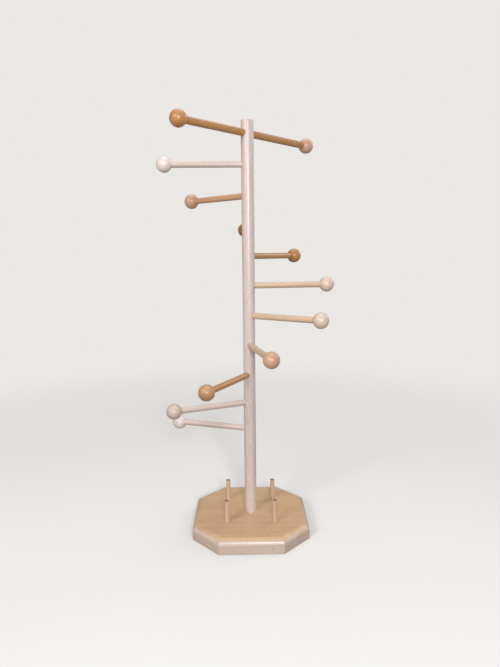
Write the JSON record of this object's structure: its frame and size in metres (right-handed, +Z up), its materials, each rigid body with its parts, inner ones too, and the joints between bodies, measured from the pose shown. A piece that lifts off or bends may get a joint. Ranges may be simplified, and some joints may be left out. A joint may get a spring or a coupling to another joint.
{
  "type": "jewellery tree stand",
  "caption": "Table-top jewellery tree: a post on an octagonal wooden base, with ball-ended arms stepping down it in a spiral and short ring pegs on the base.",
  "frame": {"origin": "the point of the surface it stands on that lies on the post's axis", "axes": "+Z up the post; +X to the viewer's right, parallel to the board's front edge; the viewer and the board's front edge are at -Y"},
  "size_m": [0.2292, 0.227, 0.54],
  "materials": {
    "base_beech": "satin clear varnish over sanded beech",
    "post_beech": "satin clear varnish over sanded beech",
    "pale_beech": "satin clear varnish over sanded beech",
    "steamed_beech": "satin clear varnish over sanded beech",
    "knob_pale_beech": "satin clear varnish over sanded beech",
    "knob_steamed_beech": "satin clear varnish over sanded beech",
    "peg_beech": "satin clear varnish over sanded beech",
    "screw_steel": "zinc plated, dull"
  },
  "bodies": {
    "root": {"base_board": "base_beech", "post": "post_beech", "post_screw": "screw_steel", "top_bar": "steamed_beech", "arm_02": "pale_beech", "arm_03": "steamed_beech", "arm_04": "pale_beech", "arm_05": "steamed_beech", "arm_06": "pale_beech", "arm_07": "pale_beech", "arm_08": "pale_beech", "arm_09": "steamed_beech", "arm_10": "pale_beech", "arm_11": "pale_beech", "knob_top_left": "knob_steamed_beech", "knob_top_right": "knob_steamed_beech", "knob_02": "knob_pale_beech", "knob_03": "knob_pale_beech", "knob_04": "knob_steamed_beech", "knob_05": "knob_steamed_beech", "knob_06": "knob_pale_beech", "knob_07": "knob_pale_beech", "knob_08": "knob_steamed_beech", "knob_09": "knob_steamed_beech", "knob_10": "knob_pale_beech", "knob_11": "knob_pale_beech", "ring_peg_front_left": "peg_beech", "ring_peg_front_right": "peg_beech", "ring_peg_back_left": "peg_beech", "ring_peg_back_right": "peg_beech"}
  },
  "joints": []
}
